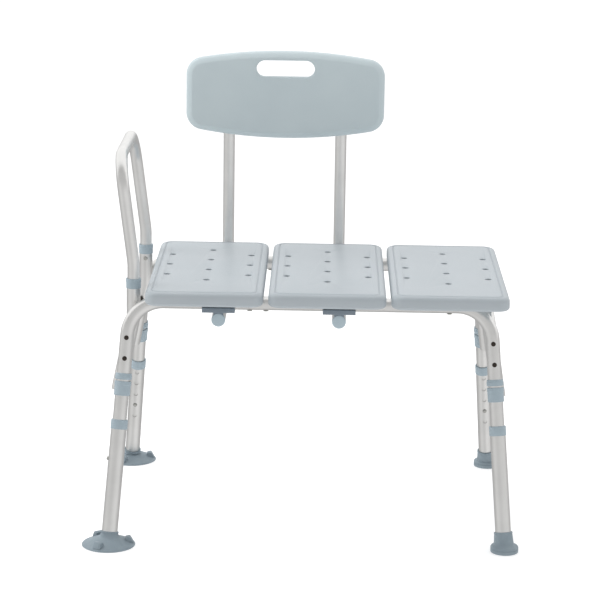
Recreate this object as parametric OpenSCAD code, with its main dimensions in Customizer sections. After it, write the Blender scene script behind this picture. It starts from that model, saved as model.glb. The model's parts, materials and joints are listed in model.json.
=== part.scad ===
/* [Seat] */
// Width of the whole seat, across the three pads
seat_w = 660; // [600:1:680]
// Depth of the seat, front to back
seat_d = 466.5; // [450:0.5:467]
// How far the seat's centre sits behind the frame's centre
seat_back = 4.2; // [0:0.2:4.2]
// Height of the seat's top above the floor
seat_h = 465; // [462:1:468]
// Thickness of a seat pad
pad_t = 26; // [25:0.5:28]
// Gap between two pads
pad_gap = 9.5; // [8:0.5:14]
// Wall of the blow-moulded pads and panel
mould_wall = 2.5; // [2:0.5:3]
// Diameter of a drain hole
drain_d = 12; // [8:1:14]
// Sideways distance from the middle row of drain holes to the outer rows
drain_pitch_x = 76; // [60:1:80]
// Front-to-back distance between drain holes in one row
drain_pitch_y = 87.4; // [70:0.2:88]
// How far the field of drain holes sits behind the pad's centre
drain_back = 11.8; // [0:0.2:20]
// How far the seat is set over to the right of the frame's centre
seat_offset = 30.5; // [29:0.5:32]

/* [Frame] */
// Outer diameter of the frame tubes
frame_od = 25.4; // [25:0.1:25.6]
// Wall of the frame tubes
frame_wall = 1.5; // [1.2:0.1:1.6]
// Distance from the seat's centre line to the front or the rear rail's axis
rail_y = 174; // [172:1:176]
// Height of the rails' axes above the floor
rail_z = 436; // [435:1:437]
// Bend radius of a frame tube's axis
frame_bend_r = 65; // [60:1:70]
// Distance from the frame's centre to a foot's centre, sideways
stance_x = 361.5; // [358:0.5:364]
// Distance from the seat's centre line to a foot's centre, front to back
stance_y = 267.5; // [264:0.5:270]
// Distance from the frame's centre to a leg's axis at rail height
shoulder_x = 328.8; // [326:0.1:331]
// Gap between a leg and the tube that is bolted beside it
side_gap = 3.2; // [3:0.1:3.4]
// Shaft diameter of the frame bolts
bolt_d = 6; // [5:0.5:6]

/* [Legs] */
// Outer diameter of the sliding lower tube
lower_od = 28.6; // [28.5:0.1:28.8]
// Radial clearance between the lower tube and the tube inside it
slide_gap = 0.3; // [0.25:0.05:0.35]
// Outer diameter of the plastic collars and rings
collar_od = 30.8; // [30.5:0.1:31.5]
// Distance between two height-adjustment holes, along the leg
hole_pitch = 24.4; // [23.6:0.2:24.8]
// Diameter of a height-adjustment hole
hole_d = 8; // [7.5:0.1:8]
// Number of height-adjustment holes
hole_count = 5; // [4:1:5]
// Diameter of a snap button
button_d = 7; // [6:0.1:7]
// How far a snap button stands proud of the tube that it locks
button_proud = 3.4; // [3:0.1:4]

/* [Feet] */
// Diameter of a suction foot
suction_d = 97.6; // [92:0.1:100]
// Diameter of a rubber tip's flange
tip_d = 51; // [46:0.5:54]

/* [Arm] */
// Outer diameter of the arm and backrest tubes
arm_od = 22.2; // [22:0.1:22.4]
// Wall of the arm and backrest tubes
arm_wall = 1.2; // [1:0.1:1.4]
// Distance from the frame's centre to the sockets' upright ends
socket_x = 324.5; // [323:0.5:326]
// Distance from the seat's centre line to either arm socket
socket_y = 152.3; // [151:0.1:153]
// Height of the arm's top bar, at its axis
arm_top_z = 695; // [670:1:700]
// Sideways lean of the arm above its bends, as a slope
arm_slope = 0.13; // [0.1:0.01:0.14]
// Bend radius of the arm's top corners
arm_bend_r = 61; // [50:1:80]

/* [Backrest] */
// Width of the backrest panel
panel_w = 387; // [370:1:400]
// Height of the backrest panel at its middle
panel_h = 171; // [160:1:180]
// Thickness of the backrest panel
panel_t = 24.5; // [20:0.5:25]
// Height of the panel's top edge above the floor, at its middle
panel_top_z = 846; // [800:0.5:860]
// Radius of the panel's arched top and bottom edges
panel_arch_r = 950; // [800:10:1200]
// Corner radius of the panel
panel_corner_r = 34; // [28:1:40]
// Width of the hand slot
slot_w = 114; // [100:1:120]
// Height of the hand slot
slot_h = 33; // [28:1:36]
// Distance between the two backrest tubes
back_pitch = 220; // [210:1:230]
// Distance from the frame's centre to the backrest's centre, to the left
back_offset = 57.5; // [50:0.5:60]
// Distance from the seat's centre line to the upright part of the backrest tubes
upright_y = 250; // [250:1:254]
// Bend radius of the backrest tubes' axes
back_bend_r = 48; // [46:1:50]

/* [Hidden] */
$fn = 64;

eps = 0.01;
cut = 1;
// The object's box is centred on the origin: a suction foot ends it on the left, a tip on the right
frame_x = (suction_d - tip_d) / 4;
seat_x = frame_x + seat_offset;
back_x = frame_x - back_offset;
pad_w = (seat_w - 2 * pad_gap) / 3;
pad_z = seat_h - pad_t;

// Leg geometry: slopes of a leg's axis, and the angles that they make
slope_x = (stance_x - shoulder_x) / rail_z;
slope_y = (stance_y - rail_y) / rail_z;
lean_y = atan(slope_y);
lean_x = atan(slope_x * cos(lean_y));
rise = cos(lean_x) * cos(lean_y);

// Stations along a leg's axis, measured from the floor
tube_foot = 11;
insert_foot = 72;
ring_foot = 212.5;
ring_top = 230;
ring_seat = 225.5;
lower_collar_foot = 274;
lower_collar_top = 300.5;
frame_foot = 288;
upper_collar_foot = 303.5;
upper_collar_top = 315;
insert_top = 332;
first_hole = 108.5;
function bolt_stations(sy) = sy < 0 ? [342, 380] : [352, 383];

frame_id = frame_od - 2 * frame_wall;
insert_id = frame_id;
neck_od = frame_id - 0.2;
lower_id = frame_od + 2 * slide_gap;
arm_id = arm_od - 2 * arm_wall;
socket_od = frame_od;
socket_id = arm_od + 2 * slide_gap;

// Sockets: a lower run along the leg, a bend, and an upright mouth
side_shift = (frame_od + side_gap) / cos(lean_y);
socket_foot_z = 269;
socket_top_z = 474;
socket_mid_z = 345;
socket_bend_z = (stance_y - side_shift - socket_y) / slope_y;
arm_foot_z = 427;
arm_button_z = 447.5;
arm_bend_z = 502;
arm_collar_h = 18;
arm_collar_od = 28;

// Side arch under the right pad
arch_top_z = 424;
arch_bend_r = 60;
arch_foot_z = 269;
// The arch's legs splay out from the bench's legs, and cross their line at this height
arch_splay = 0.08;
arch_cross_z = 352;

// Backrest tubes, the sleeves that they slide into, and the saddles that carry the sleeves
back_tube_z = 405.7;
back_tube_front = 40;
back_tube_top = 800;
back_button_y = 178;
sleeve_front = -183.5;
sleeve_rear = 194;
saddle_w = 60;
saddle_d = 30;
saddle_top_z = 428.6;
saddle_foot_z = 419.7;
cradle_w = 18;
cradle_foot_z = 412;
panel_y = upright_y - arm_od / 2 - 0.3 - panel_t;
panel_screw_z = [702, 786];

alu = [0.78, 0.78, 0.77];
light_blue = [0.74, 0.78, 0.80];
grey_blue = [0.60, 0.68, 0.71];
dark_blue = [0.50, 0.56, 0.62];
dark_steel = [0.22, 0.20, 0.19];
zinc = [0.62, 0.62, 0.60];

// ---- vectors and bent tubes ----

function unit(v) = v / norm(v);
function turn_at(a, b, c) = acos(unit(b - a) * unit(c - b));
function trim_at(a, b, c, r) = r * tan(turn_at(a, b, c) / 2);

// Places children with their Z axis running from a to b
module from_to(a, b) {
    v = b - a;
    translate(a)
        rotate([0, acos(v.z / norm(v)), atan2(v.y, v.x)])
            children();
}

module ring(od, id) {
    difference() {
        circle(d = od);
        circle(d = id);
    }
}

module pipe(h, od, id) {
    linear_extrude(h) ring(od, id);
}

// A bend's wall is drawn down a little on both faces, and its ends lie inside the straight runs
draw_down = 0.02;
lap = 0.6;

// The bend at b on the way from a to c
module elbow(a, b, c, r, od, id) {
    turn = turn_at(a, b, c);
    into = unit(b - a);
    out_of = unit(c - b);
    centre = b + unit(out_of - into) * r / cos(turn / 2);
    start = b - into * trim_at(a, b, c, r);
    x = unit(start - centre);
    z = unit(cross(into, out_of));
    y = cross(z, x);
    multmatrix([
        [x.x, y.x, z.x, centre.x],
        [x.y, y.y, z.y, centre.y],
        [x.z, y.z, z.z, centre.z],
        [0, 0, 0, 1]
    ])
        rotate_extrude(angle = turn)
            translate([r, 0]) ring(od - 2 * draw_down, id + 2 * draw_down);
}

// A tube along a list of points, with one bend radius for each inner point
module bent_tube(points, radii, od, id) {
    last = len(points) - 1;
    trims = [
        for (i = [0:last])
            i == 0 || i == last ? 0
                : trim_at(points[i - 1], points[i], points[i + 1], radii[i - 1]) - lap
    ];
    for (i = [0:last - 1]) {
        way = unit(points[i + 1] - points[i]);
        a = points[i] + way * trims[i];
        b = points[i + 1] - way * trims[i + 1];
        from_to(a, b) pipe(norm(b - a), od, id);
    }
    for (i = [1:last - 1])
        elbow(points[i - 1], points[i], points[i + 1], radii[i - 1], od, id);
}

// ---- leg places: sx is -1 on the left and 1 on the right, sy is -1 in front and 1 at the rear ----

function leg_point(sx, sy, z) = [
    frame_x + sx * (stance_x - slope_x * z),
    sy * (stance_y - slope_y * z),
    z
];

// Places children on a leg: Z runs up the leg's axis from the floor, X stays in the frame's plane
module on_leg(sx, sy) {
    translate(leg_point(sx, sy, 0))
        rotate([sy * lean_y, 0, 0])
            rotate([0, -sx * lean_x, 0])
                children();
}

// ---- seat ----

module rounded_rect(w, d, r) {
    square([w - 2 * r, d], center = true);
    square([w, d - 2 * r], center = true);
    for (x = [-1, 1], y = [-1, 1])
        translate([x * (w / 2 - r), y * (d / 2 - r)])
            circle(r);
}

// A slab whose edges are rounded in steps
module soft_slab(w, d, h, r) {
    for (step = [[0, 9], [0.7, 5.6], [2.6, 2.6], [5.6, 0.7], [9, 0]])
        translate([0, 0, step[1]])
            linear_extrude(h - 2 * step[1])
                rounded_rect(w - 2 * step[0], d - 2 * step[0], r - step[0]);
}

module drain_places() {
    for (i = [-1:1], side = [-1, 1])
        translate([side * drain_pitch_x, drain_back + i * drain_pitch_y, 0])
            children();
    for (i = [-1.5:1:1.5])
        translate([0, drain_back + i * drain_pitch_y, 0])
            children();
}

function pad_x(k) = seat_x + k * (pad_w + pad_gap);

// Screws through a saddle's plate stand this far to either side of its middle
saddle_screw_x = 20;
function saddle_screws(side) = [
    for (x = [-1, 1]) back_x + side * back_pitch / 2 + x * saddle_screw_x
];

// Screws through a rail alone: one into the left pad, one into the right pad
left_screw = pad_x(-1) + 82;
right_screw = pad_x(1);
// A short screw in each rail, between the left and the middle pad
gap_screw = pad_x(-0.5);

function pad_screws(k) = k > 0 ? [right_screw]
    : k < 0 ? concat(saddle_screws(-1), [left_screw])
    : saddle_screws(1);

// Places children on both rails' lines, at the given places along them
module along_rails(places) {
    for (x = places, y = [-rail_y, rail_y])
        translate([x, y, 0])
            children();
}

rail_channel_r = frame_od / 2 + 0.4;
rail_in_pad = rail_z - pad_z;

module rail_channels(r) {
    for (y = [-rail_y, rail_y])
        translate([0, y, rail_in_pad])
            rotate([0, 90, 0])
                cylinder(h = pad_w + 2, r = r, center = true);
}

// One blow-moulded pad: a closed hollow slab, with a solid post around each hole and screw
module pad(k) {
    wall = mould_wall;
    inset = wall + 6;
    color(light_blue)
        translate([pad_x(k), 0, pad_z])
            difference() {
                translate([0, seat_back, 0]) soft_slab(pad_w, seat_d, pad_t, 22);
                difference() {
                    translate([0, seat_back, wall])
                        linear_extrude(pad_t - 2 * wall)
                            rounded_rect(pad_w - 2 * inset, seat_d - 2 * inset, 14);
                    rail_channels(rail_channel_r + wall);
                    translate([0, seat_back, 0])
                        drain_places() cylinder(h = pad_t, d = drain_d + 2 * wall);
                    translate([-pad_x(k), 0, 0])
                        along_rails(pad_screws(k)) cylinder(h = pad_t, d = 10);
                }
                rail_channels(rail_channel_r);
                translate([0, seat_back, -cut])
                    drain_places() cylinder(h = pad_t + 2 * cut, d = drain_d);
                translate([-pad_x(k), 0, 0])
                    along_rails(pad_screws(k)) cylinder(h = screw_tip_z - pad_z + 0.3, d = 4.6);
            }
}

screw_tip_z = rail_z + frame_od / 2 + 10;
rail_foot_z = rail_z - frame_od / 2;
screw_head_h = 1.8;
screw_head_d = 9;
gap_screw_h = 6;

module screw(seat_z, tip_z) {
    translate([0, 0, seat_z - screw_head_h]) cylinder(h = screw_head_h, d = screw_head_d);
    translate([0, 0, seat_z - eps]) cylinder(h = tip_z - seat_z, d = 4.2);
}

// Pan-head screws: up through the rails into the pads, some through the saddles as well
module seat_pad_screws() {
    color(zinc) {
        along_rails([left_screw, right_screw]) screw(rail_foot_z, screw_tip_z);
        along_rails([gap_screw]) screw(rail_foot_z, rail_foot_z + gap_screw_h);
        for (side = [-1, 1])
            along_rails(saddle_screws(side))
                screw(saddle_foot_z + screw_head_h + 0.1, screw_tip_z);
    }
}

// ---- frame ----

// Holes in a rail for the screws; the short screw's hole is in its lower wall only
module rail_screw_holes(sy) {
    for (x = concat([left_screw, right_screw], saddle_screws(-1), saddle_screws(1)))
        translate([x, sy * rail_y, rail_z - frame_od])
            cylinder(h = 2 * frame_od, d = 4.6);
    translate([gap_screw, sy * rail_y, rail_z - frame_od])
        cylinder(h = frame_od, d = 4.6);
}

// Bolt holes square to a leg, through the leg and the tube beside it
module bolt_places(sx, sy) {
    on_leg(sx, sy)
        for (a = bolt_stations(sy))
            translate([0, 0, a])
                rotate([sy * 90, 0, 0])
                    children();
}

// Along a bolt's axis 0 is the leg's axis, and the neighbour's axis lies at plus bolt_reach
bolt_reach = frame_od + side_gap;

module bolt_holes(sy) {
    for (sx = [-1, 1])
        bolt_places(sx, sy)
            translate([0, 0, -frame_od])
                cylinder(h = 3.5 * frame_od, d = bolt_d + 0.4);
}

// A rail and the upper legs on its side, bent from one tube
module frame_tube(sy) {
    corner = function(sx) leg_point(sx, sy, rail_z);
    foot = function(sx) leg_point(sx, sy, frame_foot * rise);
    color(alu)
        difference() {
            bent_tube(
                [foot(-1), corner(-1), corner(1), foot(1)],
                [frame_bend_r, frame_bend_r], frame_od, frame_id
            );
            bolt_holes(sy);
            rail_screw_holes(sy);
        }
}

// A point on the axis of the tube beside a leg, at height z
function beside(sx, sy, z) = leg_point(sx, sy, z) - [0, sy * side_shift, 0];

function arch_point(sy, z) = beside(1, sy, z) + [arch_splay * (arch_cross_z - z), 0, 0];

module side_arch_right() {
    color(alu)
        difference() {
            bent_tube(
                [
                    arch_point(-1, arch_foot_z), arch_point(-1, arch_top_z),
                    arch_point(1, arch_top_z), arch_point(1, arch_foot_z)
                ],
                [arch_bend_r, arch_bend_r], frame_od, frame_id
            );
            for (sy = [-1, 1]) bolt_holes(sy);
        }
}

// The arm socket leans with the leg below its bend and stands upright above it
function socket_axis(sy) = let (
    mid = beside(-1, sy, socket_mid_z),
    bend = [frame_x - socket_x, sy * socket_y, socket_bend_z],
    foot = mid + (mid - bend) * (socket_mid_z - socket_foot_z) / (socket_bend_z - socket_mid_z)
) [foot, bend, [frame_x - socket_x, sy * socket_y, socket_top_z - 2]];

module arm_socket(sy) {
    color(alu)
        difference() {
            bent_tube(socket_axis(sy), [60], socket_od, socket_id);
            bolt_holes(sy);
            socket_button(sy) cylinder(h = socket_od, d = button_d + 1);
        }
}

// Places children at an arm button: Z points out of the socket, towards the other socket
module socket_button(sy) {
    translate([frame_x - socket_x, sy * socket_y, arm_button_z])
        rotate([sy < 0 ? -90 : 90, 0, 0])
            children();
}

// The lower run of the tube that is bolted beside a leg, from its foot to its bend
function side_run(sx, sy) = sx < 0
    ? [socket_axis(sy)[0], socket_axis(sy)[1]]
    : [arch_point(sy, arch_foot_z), arch_point(sy, arch_top_z)];

spacer_d = 12;

// A moulded spacer on each bolt, hollowed to fit the leg and the tube beside it
module frame_spacers() {
    fit_d = frame_od + 0.1;
    color(grey_blue)
        for (sx = [-1, 1], sy = [-1, 1])
            let (run = side_run(sx, sy))
                difference() {
                    bolt_places(sx, sy)
                        translate([0, 0, frame_od / 2 - 3]) cylinder(h = side_gap + 6, d = spacer_d);
                    bolt_places(sx, sy) cylinder(h = bolt_reach, d = bolt_d + 0.4);
                    on_leg(sx, sy) cylinder(h = 460, d = fit_d);
                    from_to(run[0], run[1]) cylinder(h = norm(run[1] - run[0]), d = fit_d);
                }
}

bolt_head_h = 3;
nut_h = 4;
bolt_len = bolt_reach + frame_od;

module frame_bolts() {
    color(dark_steel)
        for (sx = [-1, 1], sy = [-1, 1])
            bolt_places(sx, sy) {
                translate([0, 0, -frame_od / 2 - 0.2])
                    intersection() {
                        translate([0, 0, 4.4]) sphere(r = 7.4);
                        translate([0, 0, -bolt_head_h]) cylinder(h = bolt_head_h, d = 8.6);
                    }
                translate([0, 0, -frame_od / 2 - 0.3])
                    cylinder(h = bolt_len + nut_h + 1.3, d = bolt_d);
            }
}

module frame_nuts() {
    color(dark_steel)
        for (sx = [-1, 1], sy = [-1, 1])
            bolt_places(sx, sy)
                translate([0, 0, bolt_len - frame_od / 2 + 0.3])
                    difference() {
                        cylinder(h = nut_h, d = 11, $fn = 6);
                        translate([0, 0, -cut]) cylinder(h = nut_h + 2 * cut, d = bolt_d);
                    }
}

// ---- legs ----

module collar(sx, sy, foot, top) {
    color(grey_blue)
        on_leg(sx, sy)
            translate([0, 0, foot])
                pipe(top - foot, collar_od, frame_od);
}

function hole_station(n) = first_hole + n * hole_pitch;

// The front legs are locked in the middle hole and the rear legs one hole lower
function locked_hole(sy) = sy < 0 ? 2 : 1;

// The holes face outwards on the front left leg, rearwards on the front right and forwards behind
function hole_turn(sx, sy) = sy > 0 ? [90, 0, 0] : sx < 0 ? [0, -90, 0] : [-90, 0, 0];

// Places children at a leg's hole: Z points out of the tube
module leg_hole(sx, sy, n) {
    on_leg(sx, sy)
        translate([0, 0, hole_station(n)])
            rotate(hole_turn(sx, sy))
                children();
}

module leg_insert(sx, sy) {
    color(alu)
        difference() {
            on_leg(sx, sy)
                difference() {
                    union() {
                        translate([0, 0, insert_foot])
                            cylinder(h = frame_foot - insert_foot, d = frame_od);
                        translate([0, 0, frame_foot - cut])
                            cylinder(h = insert_top - frame_foot + cut, d = neck_od);
                    }
                    translate([0, 0, insert_foot - cut])
                        cylinder(h = frame_foot - insert_foot - 8, d = insert_id);
                    translate([0, 0, insert_foot - cut])
                        cylinder(h = insert_top - insert_foot + 2 * cut, d = neck_od - 2 * frame_wall);
                }
            leg_hole(sx, sy, locked_hole(sy)) cylinder(h = lower_od, d = button_d + 0.6);
        }
}

module leg_ring(sx, sy) {
    color(grey_blue)
        on_leg(sx, sy)
            difference() {
                translate([0, 0, ring_foot]) cylinder(h = ring_top - ring_foot, d = collar_od);
                translate([0, 0, ring_foot - cut]) cylinder(h = ring_seat - ring_foot + cut, d = lower_od);
                translate([0, 0, ring_foot]) cylinder(h = ring_top - ring_foot + cut, d = lower_id);
            }
}

module leg_tube(sx, sy) {
    color(alu)
        difference() {
            on_leg(sx, sy)
                translate([0, 0, tube_foot])
                    pipe(ring_seat - tube_foot, lower_od, lower_id);
            for (n = [0:hole_count - 1])
                leg_hole(sx, sy, n) cylinder(h = lower_od, d = hole_d);
        }
}

// A steel snap button on its bent leaf spring; Z points out through the hole, X along the tube
module snap_button(inner_r, outer_r) {
    tip = outer_r + button_proud;
    half = inner_r - 0.8;
    bow = 36;
    leaf = 0.8;
    leaf_w = 8;
    back = half / (1 + 7 / bow) - 0.4;
    translate([0, 0, back - leaf])
        cylinder(h = tip - button_d / 3 - back + leaf, d = button_d);
    intersection() {
        translate([0, 0, tip - button_d * 0.58]) sphere(d = 1.16 * button_d);
        translate([0, 0, back]) cylinder(h = tip, d = button_d);
    }
    rotate([90, 0, 0])
        linear_extrude(leaf_w, center = true)
            polygon([
                [-7, half], [bow, 0.6], [bow, -0.6], [-7, -half],
                [-7, leaf - half], [bow - 3, 0], [-7, half - leaf]
            ]);
}

module leg_button(sx, sy) {
    color(zinc)
        leg_hole(sx, sy, locked_hole(sy))
            rotate([0, 0, sy > 0 ? 90 : sx < 0 ? 0 : -90])
                snap_button(insert_id / 2, lower_od / 2);
}

// ---- feet ----

hub_d = 33;
hub_top = 25;

// A suction cup that lies flat on the floor, with a hub in line with the leg and three release tabs
module suction_foot(sy) {
    r = suction_d / 2;
    tab_w = 15;
    color(dark_blue)
        difference() {
            union() {
                translate(leg_point(-1, sy, 0)) {
                    rotate_extrude()
                        polygon([
                            [0, 4], [r - 5, 0], [r, 0], [r, 1.8], [r - 2.5, 3.8], [r - 8, 5.6],
                            [r - 16, 8.8], [r - 22, 12], [r - 29, 14.8], [r - 34, 16.5], [0, 16.5]
                        ]);
                    for (turn = [5, 125, 245])
                        rotate(turn)
                            rotate([90, 0, 0])
                                linear_extrude(tab_w, center = true)
                                    polygon([
                                        [r - 19, 6], [r - 17.5, 14.5], [r - 11, 16],
                                        [r - 8.5, 14.5], [r - 3, 5], [r - 6, 3]
                                    ]);
                }
                on_leg(-1, sy) translate([0, 0, 7]) cylinder(h = hub_top - 7, d = hub_d);
            }
            translate(leg_point(-1, sy, 0))
                rotate_extrude()
                    polygon([[0, -1], [r - 5, -1], [r - 5, 0], [r - 14, 4.2], [0, 4.8]]);
            on_leg(-1, sy) translate([0, 0, tube_foot]) cylinder(h = 40, d = lower_od);
        }
}

tip_top = 36.5;

// A flared rubber tip: a flat flange on the floor and a tapered sleeve in line with the leg
module rubber_tip(sy) {
    color(dark_blue)
        difference() {
            union() {
                translate(leg_point(1, sy, 0)) {
                    cylinder(h = 9, d = tip_d);
                    translate([0, 0, 9]) cylinder(h = 3, d1 = tip_d, d2 = tip_d - 5);
                    cylinder(h = 14, d = 38);
                }
                on_leg(1, sy) translate([0, 0, 12]) cylinder(h = tip_top - 12, d1 = 37, d2 = 32.4);
            }
            on_leg(1, sy)
                translate([0, 0, tube_foot])
                    cylinder(h = 60, d = lower_od);
        }
}

// ---- arm ----

arm_run = (arm_top_z - arm_bend_z);
arm_top_x = frame_x - socket_x - arm_slope * arm_run;

function arm_point(sy, x, z) = [x, sy * socket_y, z];

module arm_tube() {
    upright_x = frame_x - socket_x;
    color(alu)
        difference() {
            bent_tube(
                [
                    arm_point(-1, upright_x, arm_foot_z), arm_point(-1, upright_x, arm_bend_z),
                    arm_point(-1, arm_top_x, arm_top_z), arm_point(1, arm_top_x, arm_top_z),
                    arm_point(1, upright_x, arm_bend_z), arm_point(1, upright_x, arm_foot_z)
                ],
                [120, arm_bend_r, arm_bend_r, 120], arm_od, arm_id
            );
            for (sy = [-1, 1])
                socket_button(sy) cylinder(h = socket_od, d = button_d + 0.6);
        }
}

module arm_collar(sy) {
    foot = socket_top_z - arm_collar_h;
    color(grey_blue)
        translate([frame_x - socket_x, sy * socket_y, foot])
            difference() {
                cylinder(h = arm_collar_h, d = arm_collar_od);
                translate([0, 0, -cut]) cylinder(h = arm_collar_h - 2 + cut, d = socket_od);
                cylinder(h = arm_collar_h + cut, d = socket_id);
            }
}

module arm_button(sy) {
    color(zinc)
        socket_button(sy)
            rotate([0, 0, sy < 0 ? -90 : 90])
                snap_button(arm_id / 2, socket_od / 2);
}

// ---- backrest ----

// The points of an arc, and those of an arc without its two ends
function arc(centre, r, from, to, steps) = [
    for (i = [0:steps])
        let (a = from + (to - from) * i / steps)
            centre + r * [cos(a), sin(a)]
];
function open_arc(centre, r, from, to, steps) = [
    for (i = [1:steps - 1])
        let (a = from + (to - from) * i / steps)
            centre + r * [cos(a), sin(a)]
];

// The panel's outline, inset by a given amount: arched top and bottom edges and round corners
module panel_outline(inset) {
    w = panel_w - 2 * inset;
    h = panel_h - 2 * inset;
    arch = panel_arch_r - inset;
    corner = panel_corner_r - inset;
    x = w / 2 - corner;
    y = sqrt(pow(arch - corner, 2) - pow(x, 2)) - (arch - h / 2);
    lean = asin(x / (arch - corner));
    polygon(concat(
        arc([x, y], corner, 0, 90 - lean, 10),
        open_arc([0, h / 2 - arch], arch, 90 - lean, 90 + lean, 14),
        arc([-x, y], corner, 90 + lean, 180, 10),
        arc([-x, -y], corner, 180, 270 - lean, 10),
        open_arc([0, arch - h / 2], arch, 270 - lean, 270 + lean, 14),
        arc([x, -y], corner, 270 + lean, 360, 10)
    ));
}

slot_drop = 33;

module slot_outline(grow) {
    translate([0, panel_h / 2 - slot_drop]) {
        square([slot_w - slot_h, slot_h + 2 * grow], center = true);
        for (x = [-1, 1])
            translate([x * (slot_w - slot_h) / 2, 0]) circle(slot_h / 2 + grow);
    }
}

// Places flat outlines upright, facing forwards, centred on the panel
module on_panel(y) {
    translate([back_x, y, panel_top_z - panel_h / 2])
        rotate([90, 0, 0])
            children();
}

module panel_screw_places() {
    for (x = [-1, 1], z = panel_screw_z)
        translate([back_x + x * back_pitch / 2, upright_y, z])
            rotate([90, 0, 0])
                children();
}

module backrest_panel() {
    wall = mould_wall;
    color(light_blue)
        difference() {
            for (step = [[0, 5], [1.4, 2], [4, 0]])
                on_panel(panel_y + panel_t - step[1])
                    linear_extrude(panel_t - 2 * step[1])
                        panel_outline(step[0]);
            difference() {
                on_panel(panel_y + panel_t - wall)
                    linear_extrude(panel_t - 2 * wall)
                        panel_outline(wall + 3);
                on_panel(panel_y + panel_t)
                    linear_extrude(panel_t)
                        slot_outline(wall);
                panel_screw_places() cylinder(h = 60, d = 12);
            }
            on_panel(panel_y + panel_t + cut)
                linear_extrude(panel_t + 2 * cut)
                    slot_outline(0);
            panel_screw_places() cylinder(h = arm_od / 2 + 18.5, d = 4.6);
        }
}

module backrest_tube(side) {
    x = back_x + side * back_pitch / 2;
    color(alu)
        difference() {
            bent_tube(
                [
                    [x, back_tube_front, back_tube_z], [x, upright_y, back_tube_z],
                    [x, upright_y, back_tube_top]
                ],
                [back_bend_r], arm_od, arm_id
            );
            panel_screw_places()
                translate([0, 0, -arm_od]) cylinder(h = 2 * arm_od, d = 4.6);
            back_button_place(side) cylinder(h = socket_od, d = button_d + 0.6);
        }
}

// Places children at a backrest button: Z points down, out of the sleeve
module back_button_place(side) {
    translate([back_x + side * back_pitch / 2, back_button_y, back_tube_z])
        rotate([180, 0, 0])
            children();
}

module backrest_button(side) {
    color(zinc)
        back_button_place(side)
            rotate([0, 0, 90])
                snap_button(arm_id / 2, socket_od / 2);
}

// Places children at the front end of a backrest sleeve: Z points forwards
module sleeve_end(side) {
    translate([back_x + side * back_pitch / 2, sleeve_front, back_tube_z])
        rotate([90, 0, 0])
            children();
}

module backrest_sleeve(side) {
    color(alu)
        difference() {
            sleeve_end(side)
                translate([0, 0, sleeve_front - sleeve_rear])
                    pipe(sleeve_rear - sleeve_front, socket_od, socket_id);
            back_button_place(side) cylinder(h = socket_od, d = button_d + 1);
        }
}

// A round plug that closes the front end of a sleeve
module end_cap(side) {
    color(grey_blue)
        sleeve_end(side) {
            cylinder(h = 2.5, d = socket_od);
            translate([0, 0, -12]) cylinder(h = 12 + eps, d = socket_id);
        }
}

module backrest_screws() {
    color(zinc)
        panel_screw_places() {
            translate([0, 0, -arm_od / 2 - 2]) cylinder(h = 2, d = 9);
            translate([0, 0, -arm_od / 2 - eps]) cylinder(h = arm_od + 18, d = 4.2);
        }
}

// A moulded saddle: a plate under the rail, with a narrow cradle that sits on the sleeve
module saddle(side, sy) {
    x = back_x + side * back_pitch / 2;
    color(dark_blue)
        difference() {
            union() {
                translate([x - saddle_w / 2, sy * rail_y - saddle_d / 2, saddle_foot_z])
                    cube([saddle_w, saddle_d, saddle_top_z - saddle_foot_z]);
                translate([x - cradle_w / 2, sy * rail_y - saddle_d / 2 + 2, cradle_foot_z])
                    cube([cradle_w, saddle_d - 4, saddle_foot_z - cradle_foot_z + cut]);
            }
            translate([x, sy * rail_y, rail_z])
                rotate([0, 90, 0])
                    cylinder(h = saddle_w + 2, d = frame_od, center = true);
            translate([x, sy * rail_y, back_tube_z])
                rotate([90, 0, 0])
                    cylinder(h = saddle_d + 2, d = socket_od, center = true);
            for (hole = saddle_screws(side))
                translate([hole, sy * rail_y, saddle_foot_z]) {
                    cylinder(h = saddle_d, d = 4.6);
                    translate([0, 0, -cut])
                        cylinder(h = cut + screw_head_h + 0.1, d = screw_head_d + 0.6);
                }
        }
}

pad(-1);  // seat_pad_left
pad(0);  // seat_pad_middle
pad(1);  // seat_pad_right
seat_pad_screws();
frame_tube(-1);  // front_frame_tube
frame_tube(1);  // rear_frame_tube
side_arch_right();
arm_socket(-1);  // arm_socket_front
arm_socket(1);  // arm_socket_rear
frame_spacers();
frame_bolts();
frame_nuts();
collar(-1, -1, upper_collar_foot, upper_collar_top);  // upper_collar_fl
collar(1, -1, upper_collar_foot, upper_collar_top);  // upper_collar_fr
collar(-1, 1, upper_collar_foot, upper_collar_top);  // upper_collar_rl
collar(1, 1, upper_collar_foot, upper_collar_top);  // upper_collar_rr
collar(-1, -1, lower_collar_foot, lower_collar_top);  // lower_collar_fl
collar(1, -1, lower_collar_foot, lower_collar_top);  // lower_collar_fr
collar(-1, 1, lower_collar_foot, lower_collar_top);  // lower_collar_rl
collar(1, 1, lower_collar_foot, lower_collar_top);  // lower_collar_rr
leg_insert(-1, -1);  // leg_insert_fl
leg_insert(1, -1);  // leg_insert_fr
leg_insert(-1, 1);  // leg_insert_rl
leg_insert(1, 1);  // leg_insert_rr
leg_ring(-1, -1);  // leg_ring_fl
leg_ring(1, -1);  // leg_ring_fr
leg_ring(-1, 1);  // leg_ring_rl
leg_ring(1, 1);  // leg_ring_rr
leg_tube(-1, -1);  // leg_tube_fl
leg_tube(1, -1);  // leg_tube_fr
leg_tube(-1, 1);  // leg_tube_rl
leg_tube(1, 1);  // leg_tube_rr
leg_button(-1, -1);  // leg_button_fl
leg_button(1, -1);  // leg_button_fr
leg_button(-1, 1);  // leg_button_rl
leg_button(1, 1);  // leg_button_rr
suction_foot(-1);  // suction_foot_front
suction_foot(1);  // suction_foot_rear
rubber_tip(-1);  // rubber_tip_front
rubber_tip(1);  // rubber_tip_rear
arm_tube();
arm_collar(-1);  // arm_collar_front
arm_collar(1);  // arm_collar_rear
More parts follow.
